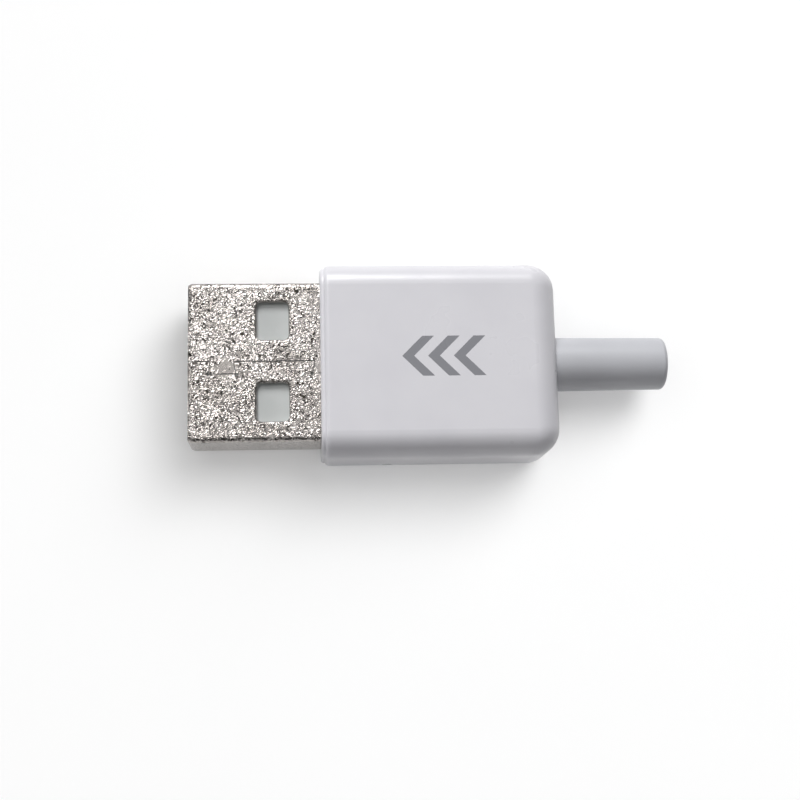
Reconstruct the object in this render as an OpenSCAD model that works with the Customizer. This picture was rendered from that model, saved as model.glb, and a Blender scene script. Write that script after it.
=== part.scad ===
// Solder-type USB-A plug: folded sheet shell, moulded insulator with four contacts, two rear
// shields, a push-on hood and a soft tail sleeve.
// Millimetres. X runs from the mouth to the tail, Y across the width and Z up. The origin lies
// under the middle of the plug, on the surface that the hood rests on.
// Each sub-part is drawn with X measured from the mouth and Z from the plug's own axis, and
// set_down() then puts it in the frame above.

/* [Plug shell] */
// Outside width of the shell
shell_w = 12; // [11.6:0.1:12.8]
// Outside height of the shell
shell_h = 4.5; // [4.3:0.1:4.9]
// Length of the shell, with the stretch inside the hood
shell_l = 14.2; // [13.6:0.1:14.8]
// Thickness of the folded sheet
sheet_t = 0.3; // [0.2:0.05:0.35]
// Outside radius of the four folds
fold_r = 0.4; // [0.38:0.02:0.6]
// Length of the bevel round the mouth
mouth_bevel_l = 0.25; // [0.1:0.05:0.5]
// Depth of the bevel round the mouth
mouth_bevel_d = 0.13; // [0.05:0.01:0.18]

/* [Retention windows] */
// Distance from the mouth to the windows
window_x = 5.03; // [4.4:0.05:5.6]
// Length of a window, along the plug
window_l = 2.38; // [1.8:0.05:2.8]
// Width of a window, across the plug
window_w = 2.87; // [2:0.05:3.2]
// Distance between the middles of the two windows of a face
window_pitch = 6.13; // [5.4:0.05:6.4]
// Corner radius of a window
window_r = 0.38; // [0.2:0.02:0.6]
// Radius of the rolled rim of a window
window_roll = 0.2; // [0.08:0.02:0.24]

/* [Seam] */
// Gap between the two edges of the sheet
seam_gap = 0.08; // [0.04:0.01:0.12]
// Distance from the mouth to the middle of the first dovetail
dovetail_x = 2.5; // [2.2:0.1:3]
// Distance between the middles of the two dovetails
dovetail_pitch = 7.67; // [7:0.05:8.2]
// Width of a dovetail at its root
dovetail_root = 1.62; // [1.2:0.02:1.8]
// Width of a dovetail at its tip
dovetail_tip = 1.96; // [1.84:0.02:2.2]
// Length of a dovetail, across the plug
dovetail_l = 0.9; // [0.6:0.05:1.1]
// Radius of the relief at each corner of a dovetail's socket
relief_r = 0.13; // [0.08:0.01:0.18]

/* [Insulator] */
// Depth of the cavity that takes the socket's tongue
cavity_l = 9; // [8.6:0.1:9.6]
// Distance of the tongue behind the mouth
tongue_setback = 0.4; // [0.2:0.05:0.9]
// Thickness of the tongue
tongue_t = 1.86; // [1.6:0.02:2]
// Chamfer under the tongue's front edge
tongue_lead = 0.35; // [0.1:0.05:0.5]
// Length of the block behind the cavity
block_l = 6; // [5.4:0.1:6.6]
// Depth of the pockets under the windows
pocket_d = 0.2; // [0.1:0.05:0.4]
// Thickness of the shelf under the solder tails
shelf_t = 0.8; // [0.5:0.05:1.2]
// Height of the ribs between the solder tails
rib_h = 0.5; // [0.3:0.05:0.9]
// Thickness of the ribs between the solder tails
rib_t = 0.3; // [0.2:0.05:0.4]

/* [Contacts] */
// Width of a contact blade
contact_w = 1; // [0.8:0.05:1.1]
// Thickness of a contact blade
contact_t = 0.25; // [0.15:0.01:0.3]
// Height of a blade over the tongue's face
contact_proud = 0.08; // [0.04:0.01:0.12]
// Distance between the two data contacts
data_pitch = 2; // [1.9:0.05:2.2]
// Distance between the two power contacts
power_pitch = 7; // [6.6:0.1:7.2]
// Distance of the data contacts behind the mouth
data_x = 2.2; // [1.8:0.1:3]
// Distance of the power contacts behind the mouth
power_x = 1.2; // [1:0.1:2]
// Length of the coined slope at the tip of a blade
tip_l = 0.35; // [0.2:0.05:0.6]
// Length of the solder tails behind the block
tail_l = 2.8; // [2.2:0.1:3.4]
// Width of a solder tail
tail_w = 1.3; // [1.1:0.05:1.5]
// Length over which a blade widens to its solder tail
tail_flare_l = 0.5; // [0.2:0.05:0.8]
// Diameter of the wire hole in a solder tail
wire_hole_d = 0.6; // [0.3:0.05:0.8]

/* [Shields] */
// Thickness of the shield sheet
shield_t = 0.25; // [0.15:0.05:0.3]
// Length that the shields reach into the shell
shield_overlap = 1.2; // [0.8:0.1:1.6]
// Length of the shields behind the shell
shield_l = 5.4; // [5:0.1:6.6]
// Width of the neck between the lower shield and its crimp
neck_w = 2.6; // [1.6:0.1:3.2]
// Length of the neck
neck_l = 0.8; // [0.4:0.1:1.2]
// Length of the crimp wings
crimp_l = 2.2; // [1.6:0.1:2.8]
// Diameter of the snaps that join the shields
snap_d = 0.8; // [0.5:0.05:1.2]
// Inside radius of the shields' folds
shield_bend_r = 0.1; // [0.05:0.05:0.3]

/* [Hood] */
// Length of the shell in front of the hood
exposed_l = 9.73; // [9.5:0.05:10]
// Length of the hood behind its front lip
hood_l = 17.42; // [16.9:0.1:20]
// Width of the hood
hood_w = 14.56; // [14.4:0.1:16]
// Height of the hood
hood_h = 7.2; // [7:0.1:8]
// Radius of the hood's long edges and rear edges
hood_edge_r = 1.8; // [1:0.1:1.9]
// Radius of the hood's rear corners, seen from above
hood_corner_r = 2; // [1.9:0.1:3.4]
// Radius of the hood's front edge
front_edge_r = 0.4; // [0.1:0.05:0.6]
// Length of the lip in front of the hood
lip_l = 0.25; // [0.15:0.05:0.4]
// Radius of the lip's front edge
lip_edge_r = 0.22; // [0.05:0.01:0.25]
// Step from the hood's side down to the lip
lip_step = 0.22; // [0.1:0.02:0.4]
// Thickness of the hood's rear wall
rear_wall = 1.8; // [1.2:0.1:2.2]
// Depth of the hood's front lead-in
lead_in = 0.2; // [0.1:0.02:0.3]

/* [Barbs that hold the hood] */
// Distance from the hood's front to the barbs
barb_x = 1.9; // [1.4:0.1:2.4]
// Length of a barb
barb_l = 1; // [0.6:0.1:1.4]
// Height of a barb, along Z
barb_h = 1.6; // [1:0.1:2.2]
// Height of a barb over the shell's side
barb_proud = 0.2; // [0.1:0.02:0.3]

/* [Tail sleeve] */
// Length of the sleeve behind the hood
sleeve_l = 8.6; // [6:0.1:16]
// Diameter of the sleeve at the hood
sleeve_root_d = 4.1; // [3.8:0.1:4.2]
// Diameter of the sleeve at its end
sleeve_tip_d = 3.96; // [3.7:0.02:4.1]
// Diameter of the bore for the cable
sleeve_bore_d = 2.8; // [2:0.1:3]
// Radius of the sleeve's outer end edge
sleeve_edge_r = 0.35; // [0.1:0.05:0.4]
// Chamfer of the bore at both ends
bore_chamfer = 0.15; // [0.05:0.05:0.2]
// Width of the inner flange
flange_w = 7; // [5:0.1:9]
// Thickness of the inner flange
flange_t = 1; // [0.6:0.1:1.4]
// Corner radius of the inner flange
flange_r = 0.6; // [0.2:0.1:1]

/* [Fits] */
// Clearance between the hood and what it holds, on each side
hood_fit = 0.05; // [0.02:0.01:0.1]
// Clearance between the shell, the insulator, the contacts and the shields, on each side
snug_fit = 0.02; // [0.01:0.01:0.04]

/* [Hidden] */
$fn = 64;
// How far a cut runs past the surface that it opens
past = 0.2;

// Inside of the shell
inner_w = shell_w - 2 * sheet_t;
inner_h = shell_h - 2 * sheet_t;
inner_r = max(0.05, fold_r - sheet_t);
// Insulator: its outside, and the underside of its tongue
insulator_w = inner_w - 2 * snug_fit;
insulator_h = inner_h - 2 * snug_fit;
insulator_r = inner_r + snug_fit;
tongue_z = insulator_h / 2 - tongue_t;
block_end = cavity_l + block_l;
// Contacts: their middles across the plug, and the underside of all four
vbus_y = power_pitch / 2;
data_minus_y = data_pitch / 2;
data_plus_y = -data_pitch / 2;
ground_y = -power_pitch / 2;
contact_z = tongue_z - contact_proud;
tail_end = block_end + tail_l;
// Shields: the lower one's outside, and the upper one nested between its walls
shield_x = shell_l - shield_overlap;
shield_end = shell_l + shield_l;
lower_w = inner_w - 2 * snug_fit;
lower_h = inner_h - 2 * snug_fit;
upper_w = lower_w - 2 * shield_t - 2 * snug_fit;
shield_fold_r = shield_t + shield_bend_r;
// Rear of the insulator's block, stepped down to fit between the shields
step_w = upper_w - 2 * shield_t - 2 * snug_fit;
step_h = lower_h - 2 * shield_t - 2 * snug_fit;
// Hood
hood_front = exposed_l + lip_l;
hood_end = hood_front + hood_l;
hood_bore_w = shell_w + 2 * hood_fit;
hood_bore_h = shell_h + 2 * hood_fit;
hood_bore_r = fold_r + hood_fit;
barb_start = hood_front + barb_x;
// Sleeve
flange_end = hood_end - rear_wall;
flange_start = flange_end - flange_t;
flange_h = shell_h - 2 * hood_fit;
overall_l = hood_end + sleeve_l;

module set_down() {
    translate([-overall_l / 2, 0, hood_h / 2]) children();
}

// A flat shape drawn in Y and Z, carried along X from x0 to x1
module along_x(x0, x1) {
    translate([x0, 0, 0]) rotate([90, 0, 90]) linear_extrude(x1 - x0) children();
}

// A solid built upwards from the XY plane, turned to grow along X from x0
module grow_along_x(x0) {
    translate([x0, 0, 0]) rotate([90, 0, 90]) children();
}

module rounded_rect(w, h, r) {
    square([w - 2 * r, h], center = true);
    square([w, h - 2 * r], center = true);
    for (side = [-1, 1], end = [-1, 1])
        translate([side * (w / 2 - r), end * (h / 2 - r)]) circle(r);
}

module quarter_disc(r) {
    intersection() {
        circle(r);
        square(r);
    }
}

// A block of height h on a w by d outline with corner radius r, whose edge profile is the flat
// child: the profile's X runs outwards from the corners' centres, and its Y is the height
module edged_block(w, d, r, h) {
    translate([r - w / 2, r - d / 2, 0]) cube([w - 2 * r, d - 2 * r, h]);
    for (side = [0:3]) {
        across = side % 2 == 0;
        reach = (across ? w : d) / 2 - r;
        run = (across ? d : w) - 2 * r;
        rotate(90 * side) translate([reach, 0, 0]) {
            rotate([90, 0, 0]) linear_extrude(run, center = true) children();
            translate([0, run / 2, 0]) rotate_extrude(angle = 90) children();
        }
    }
}

// Edge profile with its lower outer edge rounded by e
module soft_start_profile(r, h, e) {
    translate([0, e]) square([r, h - e]);
    square([r - e, e]);
    translate([r - e, e]) mirror([0, 1]) quarter_disc(e);
}

// ---- Plug shell: one sheet, folded round and closed by a seam with two dovetails ----

// The shell's outside, with the bevel round the mouth
module shell_outside() {
    grow_along_x(0) edged_block(shell_w, shell_h, fold_r, shell_l) polygon([
        [0, 0], [fold_r - mouth_bevel_d, 0], [fold_r, mouth_bevel_l], [fold_r, shell_l], [0, shell_l],
    ]);
}

module dovetail(spread, top) {
    polygon([
        [-dovetail_root / 2 - spread, top],
        [-dovetail_tip / 2 - spread, -dovetail_l - spread],
        [dovetail_tip / 2 + spread, -dovetail_l - spread],
        [dovetail_root / 2 + spread, top],
    ]);
}

// The cut between the sheet's two edges, seen from above
module seam_outline() {
    difference() {
        union() {
            translate([-past, -seam_gap / 2]) square([shell_l + 2 * past, seam_gap]);
            for (i = [0, 1]) translate([dovetail_x + i * dovetail_pitch, 0]) {
                dovetail(seam_gap, 0);
                for (side = [-1, 1])
                    translate([side * (dovetail_tip / 2 + seam_gap), -dovetail_l - seam_gap])
                        circle(relief_r);
            }
        }
        for (i = [0, 1]) translate([dovetail_x + i * dovetail_pitch, 0]) dovetail(0, seam_gap);
    }
}

// What a retention window takes out of the upper sheet, with its rolled rim
module window_cut() {
    cut_h = sheet_t + 2 * past;
    roll_z = past + sheet_t - window_roll;
    translate([0, 0, shell_h / 2 - sheet_t - past])
        edged_block(window_l, window_w, window_r, cut_h) {
            union() {
                square([window_r, cut_h]);
                difference() {
                    translate([0, roll_z]) square([window_r + window_roll, window_roll]);
                    translate([window_r + window_roll, roll_z]) circle(window_roll);
                }
                translate([0, roll_z + window_roll]) square([window_r + window_roll, past]);
            }
        }
}

// A ramp on the shell's side, which lets the hood on and not off
module barb() {
    translate([barb_start, shell_w / 2 - sheet_t / 2, -barb_h / 2]) linear_extrude(barb_h) polygon([
        [0, 0], [0, sheet_t / 2 + barb_proud], [barb_l, sheet_t / 2], [barb_l, 0],
    ]);
}

module plug_shell() {
    color([0.72, 0.69, 0.66]) set_down() {
        difference() {
            shell_outside();
            along_x(-past, shell_l + past) rounded_rect(inner_w, inner_h, inner_r);
            translate([0, 0, shell_h / 2 - sheet_t - past]) linear_extrude(sheet_t + 2 * past)
                seam_outline();
            for (face = [0, 1], side = [-1, 1])
                mirror([0, 0, face])
                    translate([window_x + window_l / 2, side * window_pitch / 2, 0]) window_cut();
        }
        for (side = [0, 1]) mirror([0, side, 0]) barb();
    }
}

// ---- Insulator: tongue with grooves for the blades, rear block and solder shelf ----

// The room that one blade takes in the tongue and the block
module blade_room(x, y) {
    translate([x - snug_fit, y - contact_w / 2 - snug_fit, contact_z - snug_fit])
        cube([block_end + past - x, contact_w + 2 * snug_fit, contact_t + 2 * snug_fit]);
}

module insulator() {
    shelf_z = contact_z - snug_fit;
    color([0.86, 0.87, 0.86]) set_down() difference() {
        union() {
            // Tongue, against the seam side of the shell
            along_x(tongue_setback, cavity_l) intersection() {
                rounded_rect(insulator_w, insulator_h, insulator_r);
                translate([-insulator_w / 2, tongue_z]) square([insulator_w, tongue_t]);
            }
            // Block, full height inside the shell and stepped down between the shields
            along_x(cavity_l, shield_x - snug_fit)
                rounded_rect(insulator_w, insulator_h, insulator_r);
            along_x(shield_x - snug_fit, block_end)
                rounded_rect(step_w, step_h, shield_fold_r - shield_t);
            // Shelf that the solder tails lie on, with ribs between them
            translate([block_end, -step_w / 2, shelf_z - shelf_t]) cube([tail_l, step_w, shelf_t]);
            for (y = [(vbus_y + data_minus_y) / 2, 0, (ground_y + data_plus_y) / 2])
                translate([block_end, y - rib_t / 2, shelf_z]) cube([tail_l, rib_t, rib_h]);
        }
        for (y = [vbus_y, ground_y]) blade_room(power_x, y);
        for (y = [data_minus_y, data_plus_y]) blade_room(data_x, y);
        // Lead-in under the tongue's front edge
        translate([tongue_setback, 0, tongue_z]) rotate([90, 0, 0])
            linear_extrude(insulator_w + past, center = true)
                polygon([[-past, -past], [tongue_lead + past, -past], [-past, tongue_lead + past]]);
        // Pockets under the windows of the seam side
        for (side = [-1, 1])
            translate([window_x + window_l / 2, side * window_pitch / 2, insulator_h / 2 - pocket_d])
                linear_extrude(pocket_d + past) rounded_rect(window_l, window_w, window_r);
    }
}

// ---- Contacts: four stamped blades, two long and two short ----

module contact(x, y) {
    color([0.93, 0.74, 0.36]) set_down() translate([0, y, contact_z]) difference() {
        linear_extrude(contact_t) polygon([
            [x, -contact_w / 2], [block_end, -contact_w / 2],
            [block_end + tail_flare_l, -tail_w / 2], [tail_end, -tail_w / 2],
            [tail_end, tail_w / 2], [block_end + tail_flare_l, tail_w / 2],
            [block_end, contact_w / 2], [x, contact_w / 2],
        ]);
        // Coined tip, so that the socket's springs ride up on it
        translate([x, 0, 0]) rotate([90, 0, 0]) linear_extrude(contact_w + past, center = true)
            polygon([[-past, -past], [tip_l, -past], [tip_l, 0], [0, contact_t / 2], [-past, contact_t / 2]]);
        translate([tail_end - tail_w / 2, 0, -past])
            cylinder(d = wire_hole_d, h = contact_t + 2 * past);
    }
}

// ---- Rear shields: two folded channels, nested and snapped together ----

// Channel section with its open side upwards, its floor's outside at z = -h / 2
module channel_section(w, h, top) {
    difference() {
        translate([0, -h / 2 + h]) rounded_rect(w, 2 * h, shield_fold_r);
        translate([0, -h / 2 + h]) rounded_rect(w - 2 * shield_t, 2 * (h - shield_t),
            shield_fold_r - shield_t);
        translate([-w, top]) square([2 * w, 2 * h]);
    }
}

// The snaps' places on the +Y wall: round holes in the lower shield and studs on the upper one
module at_snaps() {
    for (share = [1 / 3, 2 / 3])
        translate([shell_l + share * shield_l, 0, 0]) rotate([-90, 0, 0]) children();
}

module shield_lower() {
    crimp_x = shield_end + neck_l;
    outer_r = lower_h / 2;
    color([0.75, 0.74, 0.72]) set_down() {
        difference() {
            along_x(shield_x, shield_end)
                channel_section(lower_w, lower_h, lower_h / 2 - shield_t);
            at_snaps() cylinder(d = snap_d, h = lower_w + past, center = true);
        }
        // Neck and open crimp wings
        translate([shield_end, -neck_w / 2, -lower_h / 2]) cube([neck_l + shield_t, neck_w, shield_t]);
        along_x(crimp_x, crimp_x + crimp_l) difference() {
            union() {
                circle(outer_r);
                translate([-outer_r, 0]) square([2 * outer_r, outer_r]);
            }
            circle(outer_r - shield_t);
            translate([shield_t - outer_r, 0]) square([2 * (outer_r - shield_t), 2 * outer_r]);
        }
    }
}

module shield_upper() {
    stud_d = snap_d - 2 * snug_fit;
    stud_l = shield_t / 2 + snug_fit;
    color([0.75, 0.74, 0.72]) set_down() {
        along_x(shield_x, shield_end) mirror([0, 1]) channel_section(upper_w, lower_h, lower_h / 4);
        for (side = [0, 1]) mirror([0, side, 0]) at_snaps()
            translate([0, 0, upper_w / 2 - shield_t / 2]) cylinder(d = stud_d, h = shield_t / 2 + stud_l);
    }
}

// ---- Hood: one moulding, open in front and closed behind ----

module hood_outside() {
    side_r = hood_edge_r;
    straight_end = hood_end - hood_corner_r;
    straight_l = straight_end - hood_front;
    lip_r = side_r - lip_step;
    // Front lip, rooted as deep in the hood as it stands out
    grow_along_x(exposed_l)
        edged_block(hood_w - 2 * lip_step, hood_h - 2 * lip_step, lip_r, 2 * lip_l)
            soft_start_profile(lip_r, 2 * lip_l, lip_edge_r);
    // Front edge and the straight stretch
    grow_along_x(hood_front) edged_block(hood_w, hood_h, side_r, straight_l)
        soft_start_profile(side_r, straight_l, front_edge_r);
    // Rear edge and rear corners
    translate([straight_end, 0, 0]) {
        rotate([90, 0, 0]) linear_extrude(hood_w - 2 * hood_corner_r, center = true)
            rear_profile();
        for (side = [0, 1]) mirror([0, side, 0])
            translate([0, hood_w / 2 - hood_corner_r, 0]) rotate_extrude(angle = 90) rear_profile();
    }
}

// The hood's rear edge: X runs outwards over the corner radius, Y is the height
module rear_profile() {
    square_r = hood_corner_r - hood_edge_r;
    half = hood_h / 2;
    translate([0, -half]) square([square_r, hood_h]);
    translate([0, hood_edge_r - half]) square([hood_corner_r, hood_h - 2 * hood_edge_r]);
    for (up = [0, 1]) mirror([0, up])
        translate([square_r, half - hood_edge_r]) quarter_disc(hood_edge_r);
}

module hood() {
    color([0.81, 0.80, 0.83]) set_down() difference() {
        hood_outside();
        along_x(exposed_l - past, flange_end) rounded_rect(hood_bore_w, hood_bore_h, hood_bore_r);
        // Lead-in round the front opening
        grow_along_x(exposed_l - past)
            edged_block(hood_bore_w, hood_bore_h, hood_bore_r, past + lead_in) polygon([
                [0, 0], [hood_bore_r + (lead_in + past) / 2, 0],
                [hood_bore_r, past + lead_in], [0, past + lead_in],
            ]);
        // Pockets that the shell's barbs spring into
        for (side = [0, 1]) mirror([0, side, 0])
            translate([barb_start - hood_fit, 0, -barb_h / 2 - hood_fit])
                cube([barb_l + 4 * hood_fit, shell_w / 2 + barb_proud + hood_fit, barb_h + 2 * hood_fit]);
        // Bore for the tail sleeve
        along_x(flange_end - past, hood_end + past) circle(d = sleeve_root_d + 2 * hood_fit);
    }
}

// ---- Tail sleeve: soft tube with a flange behind the hood's rear wall ----

module strain_relief_sleeve() {
    bore_r = sleeve_bore_d / 2;
    tip_r = sleeve_tip_d / 2;
    neck_x = flange_start + flange_t / 2;
    color([0.74, 0.74, 0.76]) set_down() difference() {
        union() {
            along_x(flange_start, flange_end - snug_fit) rounded_rect(flange_w, flange_h, flange_r);
            rotate([0, 90, 0]) rotate_extrude() {
                polygon([
                    [0, neck_x], [sleeve_root_d / 2, neck_x], [sleeve_root_d / 2, hood_end],
                    [tip_r, overall_l - sleeve_edge_r], [0, overall_l - sleeve_edge_r],
                ]);
                translate([0, overall_l - sleeve_edge_r]) square([tip_r - sleeve_edge_r, sleeve_edge_r]);
                translate([tip_r - sleeve_edge_r, overall_l - sleeve_edge_r]) quarter_disc(sleeve_edge_r);
            }
        }
        along_x(flange_start - past, overall_l + past) circle(bore_r);
        for (end = [0, 1])
            translate([end * overall_l + (1 - end) * flange_start, 0, 0]) mirror([end, 0, 0])
                rotate([0, 90, 0]) cylinder(r1 = bore_r + bore_chamfer, r2 = bore_r, h = bore_chamfer);
    }
}

plug_shell();
insulator();
contact(power_x, vbus_y);  // contact_vbus
contact(data_x, data_minus_y);  // contact_data_minus
contact(data_x, data_plus_y);  // contact_data_plus
contact(power_x, ground_y);  // contact_ground
shield_lower();
shield_upper();
hood();
strain_relief_sleeve();
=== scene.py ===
"""A solder-type USB-A plug lying on a white table: folded nickel shell, moulded hood and tail sleeve."""
import math

import bpy
import numpy as np
from mathutils import Matrix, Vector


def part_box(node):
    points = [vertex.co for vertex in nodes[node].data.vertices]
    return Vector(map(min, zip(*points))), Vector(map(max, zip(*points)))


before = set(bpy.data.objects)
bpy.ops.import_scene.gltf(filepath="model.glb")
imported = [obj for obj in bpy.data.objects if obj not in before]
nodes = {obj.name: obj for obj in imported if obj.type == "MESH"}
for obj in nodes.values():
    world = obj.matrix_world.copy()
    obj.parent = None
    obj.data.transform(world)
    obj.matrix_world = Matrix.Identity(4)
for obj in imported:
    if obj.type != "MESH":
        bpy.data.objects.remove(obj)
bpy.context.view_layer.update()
scene = bpy.context.scene
scene.view_settings.view_transform = "Standard"


# ---- Camera ----
# A long lens about 10 cm above the plug, leaning a little towards the mouth and the near side, so
# that the shell's seam face, the hood's top and a sliver of the near sides are in view.

camera_data = bpy.data.cameras.new("camera")
camera_data.sensor_width = 36.0
camera_data.lens = 60.99
camera_data.clip_start = 0.001
camera = bpy.data.objects.new("camera", camera_data)
scene.collection.objects.link(camera)
scene.camera = camera
camera_right = (0.99730387, -0.02421935, 0.0692706)
camera_up = (0.01091259, 0.98241797, 0.18637558)
camera_back = (-0.07256658, -0.18511717, 0.98003353)
camera_turn = Matrix((camera_right, camera_up, camera_back)).transposed().to_4x4()
camera.matrix_world = Matrix.Translation((-0.009703, -0.021544, 0.103853)) @ camera_turn


# ---- Plug shell ----
# One sheet of steel, folded round and locked by two dovetails, then bright nickel plated. The
# sheet was rolled with a worm-like orange-peel grain, which is flattened where the dovetails
# were staked. Only its rear end is held, inside the hood.

def new_material(name):
    """An empty node material: the material, its tree and its output node."""
    material = bpy.data.materials.new(name)
    material.use_nodes = True
    tree = material.node_tree
    tree.nodes.clear()
    return material, tree, tree.nodes.new("ShaderNodeOutputMaterial")


def add_node(tree, kind, links=(), **settings):
    """A new node with its settings made, and each (input, output socket or value) of links joined."""
    node = tree.nodes.new(kind)
    for key, value in settings.items():
        setattr(node, key, value)
    for socket, source in links:
        if isinstance(source, bpy.types.NodeSocket):
            tree.links.new(source, node.inputs[socket])
        else:
            node.inputs[socket].default_value = source
    return node


def math_node(tree, operation, a, b=0.0, c=0.0):
    """The output of one Math node on up to three sockets or numbers."""
    links = [(0, a), (1, b), (2, c)]
    return add_node(tree, "ShaderNodeMath", links, operation=operation).outputs[0]


def smooth_step(tree, value, low, high):
    """0 below low and 1 above high, with an eased rise between, of one socket."""
    links = [("Value", value), ("From Min", low), ("From Max", high)]
    return add_node(
        tree, "ShaderNodeMapRange", links, interpolation_type="SMOOTHSTEP"
    ).outputs[0]


def new_group(name, inputs, outputs):
    """An empty shader node group with named float inputs, and outputs of the kinds given."""
    group = bpy.data.node_groups.new(name, "ShaderNodeTree")
    for label, value in inputs.items():
        socket = group.interface.new_socket(label, in_out="INPUT", socket_type="NodeSocketFloat")
        socket.default_value = value
    for label, kind in outputs.items():
        group.interface.new_socket(label, in_out="OUTPUT", socket_type=kind)
    return group, group.nodes.new("NodeGroupInput"), group.nodes.new("NodeGroupOutput")


def group_node(tree, group, **values):
    """One use of a group, with its inputs set by name, where _ stands for a space."""
    node = add_node(tree, "ShaderNodeGroup", node_tree=group)
    for label, value in values.items():
        socket = node.inputs[label.replace("_", " ")]
        if isinstance(value, bpy.types.NodeSocket):
            tree.links.new(value, socket)
        else:
            socket.default_value = value
    return node


def dress(material, *names):
    """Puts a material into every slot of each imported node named."""
    for name in names:
        mesh = nodes[name].data
        if not mesh.materials:
            mesh.materials.append(material)
        for i in range(len(mesh.materials)):
            mesh.materials[i] = material


def make_peel_group():
    """Worm-like ridges: a warped noise, folded at its middle value so that its level lines become crests,
    plus a finer noise. Height is 0 to 1, and the second output marks the deepest pits, where the nickel
    gets painted shade."""
    group, inlet, outlet = new_group(
        "orange_peel",
        {"Scale": 2600.0, "Warp": 1.0, "Fine": 0.3},
        {"Height": "NodeSocketFloat", "PitShade": "NodeSocketFloat"},
    )
    place = add_node(group, "ShaderNodeTexCoord").outputs["Object"]
    worm = add_node(
        group,
        "ShaderNodeTexNoise",
        [
            ("Vector", place),
            ("Scale", inlet.outputs["Scale"]),
            ("Distortion", inlet.outputs["Warp"]),
            ("Detail", 1.0),
            ("Roughness", 0.4),
        ],
    ).outputs[0]
    folded = math_node(group, "ABSOLUTE", math_node(group, "SUBTRACT", worm, 0.5))
    crest = smooth_step(group, folded, 0.0, 0.16)
    fine_scale = math_node(group, "MULTIPLY", inlet.outputs["Scale"], 2.3)
    fine = add_node(
        group,
        "ShaderNodeTexNoise",
        [("Vector", place), ("Scale", fine_scale), ("Detail", 2.0), ("Roughness", 0.6)],
    ).outputs[0]
    height = math_node(group, "MULTIPLY_ADD", fine, inlet.outputs["Fine"], crest)
    group.links.new(height, outlet.inputs["Height"])
    # the deepest pits, which the nickel colours as painted shade
    group.links.new(smooth_step(group, worm, 0.4, 0.29), outlet.inputs["PitShade"])
    return group


def make_cloud_group():
    """A slow noise on Object coordinates, stretched to run from 0 to 1 over its usual range."""
    group, inlet, outlet = new_group("clouding", {"Scale": 300.0}, {"Mask": "NodeSocketFloat"})
    place = add_node(group, "ShaderNodeTexCoord").outputs["Object"]
    links = [("Vector", place), ("Scale", inlet.outputs["Scale"]), ("Detail", 3.0)]
    noise = add_node(group, "ShaderNodeTexNoise", links).outputs[0]
    group.links.new(smooth_step(group, noise, 0.3, 0.7), outlet.inputs["Mask"])
    return group


peel_group = make_peel_group()
cloud_group = make_cloud_group()
shell_low, shell_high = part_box("plug_shell")

# The two dovetails' middles, how far out their staking flattens the peel, and what it leaves
dovetail_xs = (shell_low.x + 0.0028, shell_low.x + 0.0102)
dovetail_y = -0.0005
stake_r = 0.0013
stake_left = 0.1
peel_depth = 0.000024


def make_nickel():
    """Nickel plate: bright crests of the peel, and painted shade, dark and warm, in its deepest pits."""
    material, tree, out = new_material("nickel_plate")
    peel = group_node(tree, peel_group, Scale=3000.0, Warp=1.4, Fine=0.3)
    cloud = group_node(tree, cloud_group, Scale=420.0)
    place = add_node(tree, "ShaderNodeTexCoord").outputs["Object"]
    # 1 well away from both dovetails, 0 at their middles
    away = None
    for x in dovetail_xs:
        centre = (x, dovetail_y, shell_high.z)
        reach = add_node(
            tree, "ShaderNodeVectorMath", [(0, place), (1, centre)], operation="DISTANCE"
        ).outputs["Value"]
        clear = smooth_step(tree, reach, stake_r * 0.4, stake_r)
        away = clear if away is None else math_node(tree, "MULTIPLY", away, clear)
    kept = math_node(tree, "MULTIPLY_ADD", away, 1.0 - stake_left, stake_left)
    height = math_node(tree, "MULTIPLY", peel.outputs["Height"], kept)
    bump = add_node(
        tree,
        "ShaderNodeBump",
        [("Strength", 1.0), ("Distance", peel_depth), ("Height", height)],
    ).outputs[0]
    tint = add_node(
        tree,
        "ShaderNodeMix",
        [("Factor", cloud.outputs["Mask"]), ("A", (0.4, 0.372, 0.35, 1)), ("B", (0.5, 0.47, 0.45, 1))],
        data_type="RGBA",
    )
    # painted shade: the peel's deepest pits are coloured nearly black and warm
    pit_shade = add_node(
        tree,
        "ShaderNodeMix",
        [("Factor", peel.outputs["PitShade"]), ("B", (0.1, 0.088, 0.078, 1))],
        data_type="RGBA",
    )
    tree.links.new(tint.outputs["Result"], pit_shade.inputs["A"])
    rough = math_node(tree, "MULTIPLY_ADD", cloud.outputs["Mask"], 0.06, 0.13)
    shader = add_node(
        tree,
        "ShaderNodeBsdfPrincipled",
        [("Metallic", 1.0), ("Roughness", rough), ("Normal", bump)],
    )
    tree.links.new(pit_shade.outputs["Result"], shader.inputs["Base Color"])
    tree.links.new(shader.outputs[0], out.inputs[0])
    return material


dress(make_nickel(), "plug_shell")


# ---- Insulator ----
# One white moulding: the tongue against the seam side, the rear block and the solder shelf. It shows
# through the windows and at the mouth. Its colour is painted shade: a light grey, darker than the white
# plastic, for the shade it lies in inside the shell.

def make_grain_group():
    """Two masks of a moulded surface: Cloud, a slow wander of 0 to 1, and Grain, a fine noise."""
    group, inlet, outlet = new_group(
        "moulded_grain",
        {"Cloud Scale": 300.0, "Grain Scale": 6000.0},
        {"Cloud": "NodeSocketFloat", "Grain": "NodeSocketFloat"},
    )
    cloud = group_node(group, cloud_group, Scale=inlet.outputs["Cloud Scale"])
    place = add_node(group, "ShaderNodeTexCoord").outputs["Object"]
    links = [("Vector", place), ("Scale", inlet.outputs["Grain Scale"]), ("Detail", 2.0)]
    grain = add_node(group, "ShaderNodeTexNoise", links).outputs[0]
    group.links.new(cloud.outputs["Mask"], outlet.inputs["Cloud"])
    group.links.new(grain, outlet.inputs["Grain"])
    return group


grain_group = make_grain_group()


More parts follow.
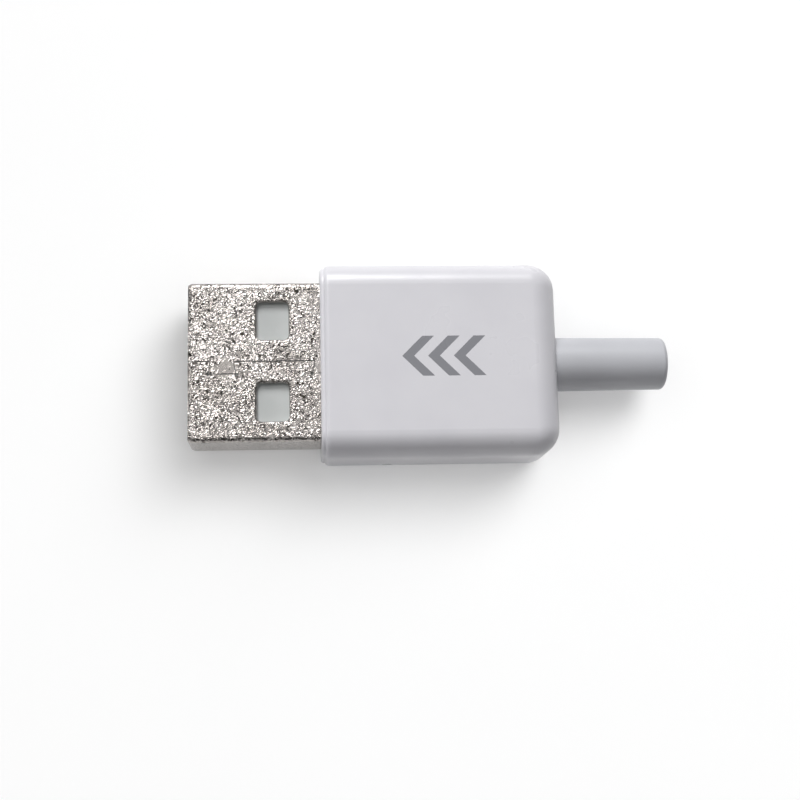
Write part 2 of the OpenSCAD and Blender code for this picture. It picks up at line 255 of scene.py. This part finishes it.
def make_moulding(name, colour, shade, rough, grain_scale, grain_height, cloud_scale):
    """Moulded plastic: a colour that clouds slightly to its shade, with a fine grain in the
    surface, and a gloss that wanders by a tenth."""
    material, tree, out = new_material(name)
    grain = group_node(tree, grain_group, Cloud_Scale=cloud_scale, Grain_Scale=grain_scale)
    cloud = grain.outputs["Cloud"]
    mix = add_node(
        tree,
        "ShaderNodeMix",
        [("Factor", cloud), ("A", (*colour, 1)), ("B", (*shade, 1))],
        data_type="RGBA",
    )
    links = [("Strength", 1.0), ("Distance", grain_height), ("Height", grain.outputs["Grain"])]
    bump = add_node(tree, "ShaderNodeBump", links).outputs[0]
    gloss = math_node(tree, "MULTIPLY_ADD", cloud, rough * 0.2, rough * 0.9)
    shader = add_node(
        tree, "ShaderNodeBsdfPrincipled", [("Roughness", gloss), ("Normal", bump)]
    )
    tree.links.new(mix.outputs["Result"], shader.inputs["Base Color"])
    tree.links.new(shader.outputs[0], out.inputs[0])
    return material, tree, mix, shader


# painted shade: the white plastic's colour is lowered to the grey it shows in the shell's shade
insulator_painted_shade = make_moulding(
    "insulator_moulding", (0.465, 0.48, 0.475), (0.435, 0.45, 0.445), 0.45, 9000.0, 0.000002, 500.0
)[0]
dress(insulator_painted_shade, "insulator")


# ---- Contacts ----
# Four stamped blades with a thin gilt, laid in the tongue's grooves, their wide tails behind
# the block for the wires.

def make_drawn_group():
    """Drawing lines along X: a noise whose X is slowed to a twentieth. Mask is its eased rise."""
    group, inlet, outlet = new_group(
        "drawn_lines",
        {"Scale": 5000.0},
        {"Mask": "NodeSocketFloat", "Height": "NodeSocketFloat"},
    )
    place = add_node(group, "ShaderNodeTexCoord").outputs["Object"]
    slowed = add_node(group, "ShaderNodeMapping", [("Vector", place), ("Scale", (0.05, 1.0, 1.0))])
    links = [("Vector", slowed.outputs[0]), ("Scale", inlet.outputs["Scale"]), ("Detail", 3.0)]
    noise = add_node(group, "ShaderNodeTexNoise", links).outputs[0]
    group.links.new(smooth_step(group, noise, 0.35, 0.65), outlet.inputs["Mask"])
    group.links.new(noise, outlet.inputs["Height"])
    return group


drawn_group = make_drawn_group()


def make_drawn_metal(name, colour, shade, rough, line_scale):
    """Plated strip, whose drawing lines shift both the colour and the gloss."""
    material, tree, out = new_material(name)
    lines = group_node(tree, drawn_group, Scale=line_scale)
    mix = add_node(
        tree,
        "ShaderNodeMix",
        [("Factor", lines.outputs["Mask"]), ("A", (*colour, 1)), ("B", (*shade, 1))],
        data_type="RGBA",
    )
    links = [("Strength", 1.0), ("Distance", 0.000001), ("Height", lines.outputs["Height"])]
    bump = add_node(tree, "ShaderNodeBump", links).outputs[0]
    gloss = math_node(tree, "MULTIPLY_ADD", lines.outputs["Mask"], rough * 0.5, rough)
    shader = add_node(
        tree,
        "ShaderNodeBsdfPrincipled",
        [("Metallic", 1.0), ("Roughness", gloss), ("Normal", bump)],
    )
    tree.links.new(mix.outputs["Result"], shader.inputs["Base Color"])
    tree.links.new(shader.outputs[0], out.inputs[0])
    return material


gilt = make_drawn_metal("gilt_strip", (0.93, 0.68, 0.3), (0.84, 0.58, 0.23), 0.16, 6000.0)
dress(gilt, "contact_vbus", "contact_data_minus", "contact_data_plus", "contact_ground")


# ---- Rear shields ----
# Two tinned channels, nested and snapped together inside the hood. The lower one ends in the
# open crimp that would close round a cable.

tinned = make_drawn_metal("tinned_sheet", (0.66, 0.66, 0.65), (0.55, 0.55, 0.54), 0.32, 4000.0)
dress(tinned, "shield_lower", "shield_upper")


# ---- Hood ----
# One off-white moulding, pushed on from behind. A grey mark on its top, three nested chevrons
# that point to the mouth, says which way the plug goes in.

hood_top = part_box("hood")[1].z
mark_x = 0.0005
mark_length = 0.0056
mark_height = 0.0030
chevron_count = 3
chevron_pitch = 0.0019
chevron_width = 0.00062
last_chevron = 0.7
print_depth = 0.0001
print_colour = (0.21, 0.212, 0.232)


def add_chevrons(tree):
    """1 on the chevrons. With u the distance behind the mark's point plus the distance off its
    middle line, each chevron covers one band of u, and bands repeat at the pitch."""
    place = add_node(tree, "ShaderNodeTexCoord").outputs["Object"]
    axes = add_node(tree, "ShaderNodeSeparateXYZ", [(0, place)])
    x, y, z = axes.outputs
    off = math_node(tree, "ABSOLUTE", y)
    along = math_node(tree, "SUBTRACT", x, mark_x - mark_length / 2)
    band = math_node(tree, "SUBTRACT", along, off)
    inside = math_node(tree, "WRAP", band, chevron_pitch, 0.0)
    marks = [
        math_node(tree, "LESS_THAN", inside, chevron_width * math.sqrt(2)),
        math_node(tree, "GREATER_THAN", band, 0.0),
        math_node(tree, "LESS_THAN", band, (chevron_count - 1 + last_chevron) * chevron_pitch),
        math_node(tree, "LESS_THAN", off, mark_height / 2),
        math_node(tree, "GREATER_THAN", z, hood_top - print_depth),
    ]
    mask = marks[0]
    for other in marks[1:]:
        mask = math_node(tree, "MULTIPLY", mask, other)
    return mask


hood_plastic, tree, hood_colour, hood_shader = make_moulding(
    "hood_moulding", (0.635, 0.628, 0.66), (0.605, 0.598, 0.632), 0.3, 7000.0, 0.0000015, 220.0
)
printed = add_node(
    tree,
    "ShaderNodeMix",
    [("Factor", add_chevrons(tree)), ("B", (*print_colour, 1))],
    data_type="RGBA",
)
tree.links.new(hood_colour.outputs["Result"], printed.inputs["A"])
tree.links.new(printed.outputs["Result"], hood_shader.inputs["Base Color"])
dress(hood_plastic, "hood")


# ---- Tail sleeve ----
# A softer and slightly greyer plastic tube that keeps the cable from kinking, held by its flange
# behind the hood's rear wall.

sleeve_plastic = make_moulding(
    "sleeve_moulding", (0.47, 0.475, 0.503), (0.445, 0.45, 0.478), 0.42, 5000.0, 0.000003, 260.0
)[0]
dress(sleeve_plastic, "strain_relief_sleeve")


# ---- Table ----
# A wide matt white sheet. Camera and mirror rays see it a little brighter than it is lit, so
# that it stays white up to the edge of the plug's shadow.

table_half = 1.5
table_lift = 0.178
table_mesh = bpy.data.meshes.new("table")
table_signs = ((-1, -1), (1, -1), (1, 1), (-1, 1))
table_corners = [(x * table_half, y * table_half, 0.0) for x, y in table_signs]
table_mesh.from_pydata(table_corners, [], [(0, 1, 2, 3)])
table = bpy.data.objects.new("table", table_mesh)
scene.collection.objects.link(table)
table_white, tree, out = new_material("table_white")
sheet_cloud = group_node(tree, cloud_group, Scale=20.0)
sheet_tone = add_node(
    tree,
    "ShaderNodeMix",
    [
        ("Factor", sheet_cloud.outputs["Mask"]),
        ("A", (0.825, 0.825, 0.825, 1)),
        ("B", (0.815, 0.815, 0.815, 1)),
    ],
    data_type="RGBA",
)
matt = add_node(tree, "ShaderNodeBsdfDiffuse", [("Color", sheet_tone.outputs["Result"])])
ray = add_node(tree, "ShaderNodeLightPath")
seen = math_node(tree, "MAXIMUM", ray.outputs["Is Camera Ray"], ray.outputs["Is Glossy Ray"])
seen = math_node(tree, "MAXIMUM", seen, ray.outputs["Is Transmission Ray"])
lift = add_node(tree, "ShaderNodeEmission", [("Strength", math_node(tree, "MULTIPLY", seen, table_lift))])
both = add_node(tree, "ShaderNodeAddShader", [(0, matt.outputs[0]), (1, lift.outputs[0])])
tree.links.new(both.outputs[0], out.inputs[0])
table_mesh.materials.append(table_white)


# ---- Light ----
# A dim room. The plug has a softbox, a panel on its far side, one overhead for the plating and
# a low strip at its mouth. The table has two windows at the far right and a dome, for its shadow.

world = bpy.data.worlds.new("room")
scene.world = world
world.use_nodes = True
room = world.node_tree.nodes["Background"]
room.inputs["Color"].default_value = (1, 1, 1, 1)
room.inputs["Strength"].default_value = 0.1

plug_lit = bpy.data.collections.new("lit_by_plug_lamps")
for node in nodes.values():
    plug_lit.objects.link(node)
table_lit = bpy.data.collections.new("lit_by_table_lamps")
table_lit.objects.link(table)


def add_lamp(name, azimuth, elevation, distance, size, power, lights):
    """A round lamp that faces the plug. Azimuth runs anticlockwise from +X and elevation up from
    the table, in degrees; only what is in the collection named lights is lit by it."""
    a, e = math.radians(azimuth), math.radians(elevation)
    back = np.array([math.cos(a) * math.cos(e), math.sin(a) * math.cos(e), math.sin(e)])
    side = np.cross([0, 0, 1], back)
    side /= np.linalg.norm(side)
    facing = Matrix((tuple(side), tuple(np.cross(back, side)), tuple(back))).transposed()
    data = bpy.data.lights.new(name, "AREA")
    data.shape = "DISK"
    data.size = size
    data.energy = power
    lamp = bpy.data.objects.new(name, data)
    scene.collection.objects.link(lamp)
    lamp.matrix_world = Matrix.Translation(tuple(back * distance)) @ facing.to_4x4()
    lamp.light_linking.receiver_collection = lights


add_lamp("softbox", 128, 62, 0.5, 0.14, 0.45, plug_lit)
add_lamp("far_panel", 100, 40, 1.2, 0.6, 13.5, plug_lit)
add_lamp("overhead", 0, 89, 0.8, 0.7, 0.9, plug_lit)
add_lamp("strip", 178, 22, 0.5, 0.10, 0.3, plug_lit)
add_lamp("window", 47, 55, 1.2, 0.9, 6.6, table_lit)
add_lamp("low_window", 47, 34, 1.2, 0.75, 3.4, table_lit)
add_lamp("dome", 0, 89, 0.8, 2.0, 7.2, table_lit)
